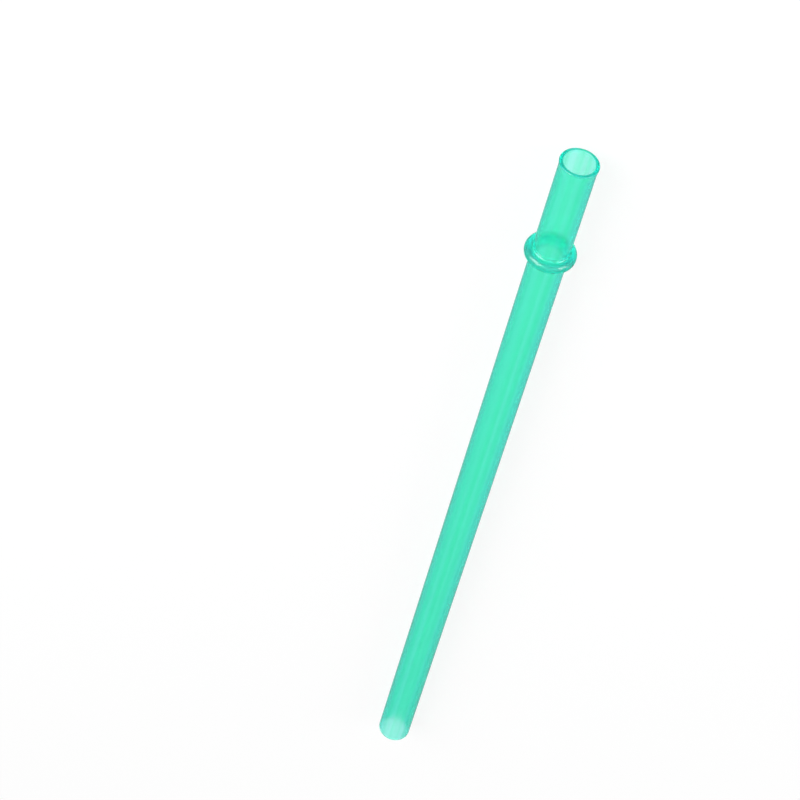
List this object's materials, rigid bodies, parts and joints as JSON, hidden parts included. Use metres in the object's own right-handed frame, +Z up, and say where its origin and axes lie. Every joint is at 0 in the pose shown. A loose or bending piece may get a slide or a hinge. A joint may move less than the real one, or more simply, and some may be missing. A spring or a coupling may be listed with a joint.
{
  "type": "plastic drinking straw",
  "caption": "Reusable see-through green plastic drinking straw: a straight open tube with a rounded lip at its mouth and a round stopper ring folded out of its wall near it.",
  "frame": {"origin": "on the floor, under the middle of the straw as it lies", "axes": "+X along the straw towards its mouth, +Z up; the straw lies on its stopper ring and on the edge of its lower end, so its axis rises about half a degree towards the mouth"},
  "size_m": [0.23, 0.012, 0.012],
  "materials": {
    "green_plastic": "glossy, see-through, lightly hazy polypropylene"
  },
  "bodies": {
    "root": {"drinking_straw": "green_plastic"}
  },
  "joints": []
}
